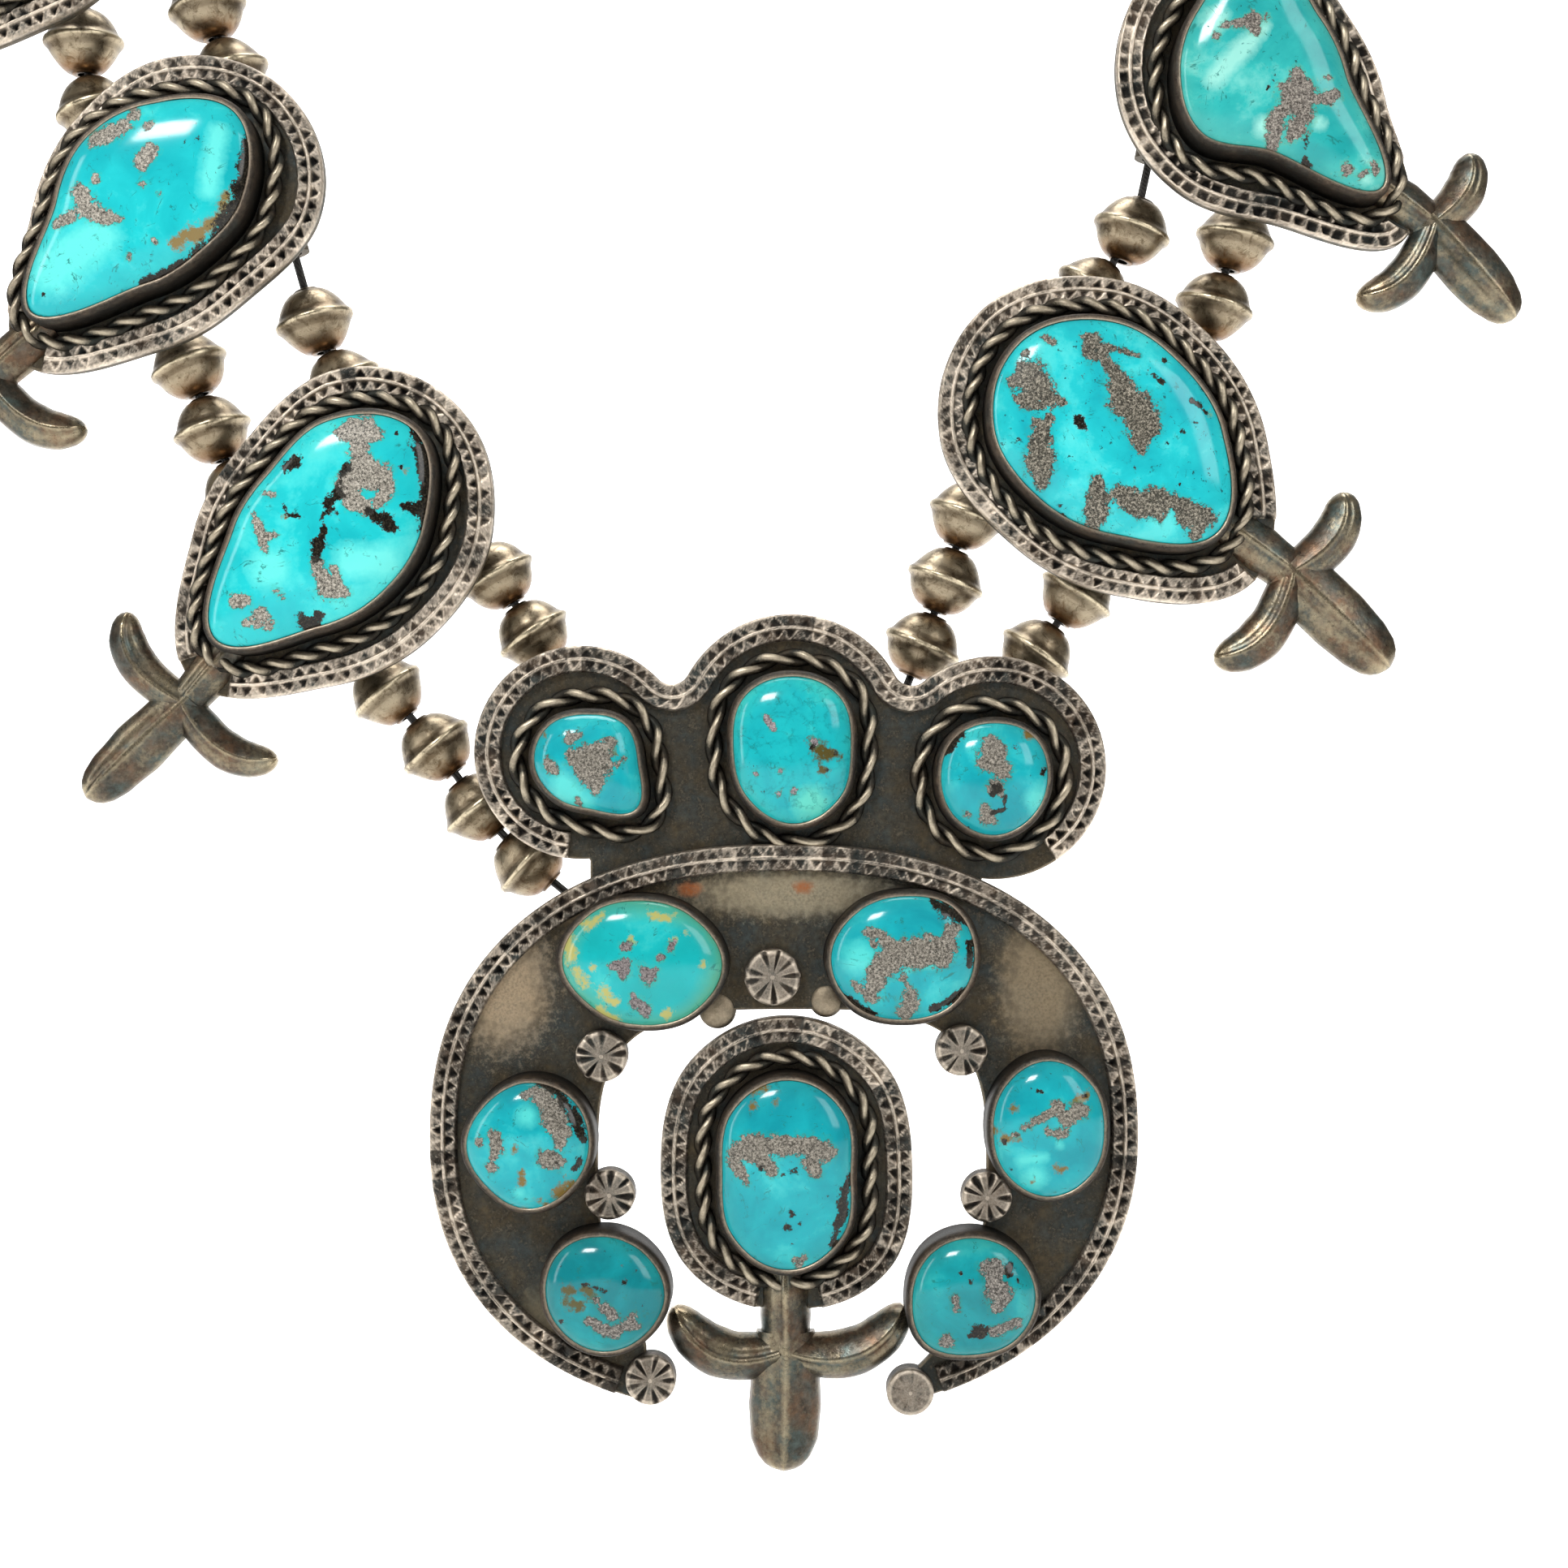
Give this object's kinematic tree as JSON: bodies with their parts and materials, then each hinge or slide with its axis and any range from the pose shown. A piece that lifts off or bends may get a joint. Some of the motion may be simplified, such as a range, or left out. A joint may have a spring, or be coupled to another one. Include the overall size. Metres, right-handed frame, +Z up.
{
  "type": "squash blossom necklace",
  "caption": "Two-strand squash blossom necklace of seamed silver beads, with turquoise set in stamped blossom plaques and in a crescent pendant under a lobed crown.",
  "frame": {"origin": "where the necklace rests on the back of the neck: under the clasp, in the plane of the strings", "axes": "+Z up to the clasp, -Z down to the crescent pendant, front towards -Y, the wearer's left towards +X"},
  "size_m": [0.2285, 0.0198, 0.3719],
  "materials": {
    "silver": "oxidised and worn",
    "bead_silver": "satin, stained",
    "turquoise": "polished",
    "thread": "matt"
  },
  "bodies": {
    "root": {"naja_setting": "silver", "crown_left_stone": "turquoise", "crown_middle_stone": "turquoise", "crown_right_stone": "turquoise", "upper_left_stone": "turquoise", "upper_right_stone": "turquoise", "side_left_stone": "turquoise", "side_right_stone": "turquoise", "lower_left_stone": "turquoise", "lower_right_stone": "turquoise", "pendant_stone": "turquoise", "blossom_left_1_setting": "silver", "blossom_left_2_setting": "silver", "blossom_left_3_setting": "silver", "blossom_left_4_setting": "silver", "blossom_right_1_setting": "silver", "blossom_right_2_setting": "silver", "blossom_right_3_setting": "silver", "blossom_right_4_setting": "silver", "blossom_left_1_stone": "turquoise", "blossom_left_2_stone": "turquoise", "blossom_left_3_stone": "turquoise", "blossom_left_4_stone": "turquoise", "blossom_right_1_stone": "turquoise", "blossom_right_2_stone": "turquoise", "blossom_right_3_stone": "turquoise", "blossom_right_4_stone": "turquoise", "beads_inner_left": "bead_silver", "beads_outer_left": "bead_silver", "beads_inner_right": "bead_silver", "beads_outer_right": "bead_silver", "thread_inner_left": "thread", "thread_outer_left": "thread", "thread_inner_right": "thread", "thread_outer_right": "thread", "clasp": "bead_silver"}
  },
  "joints": []
}
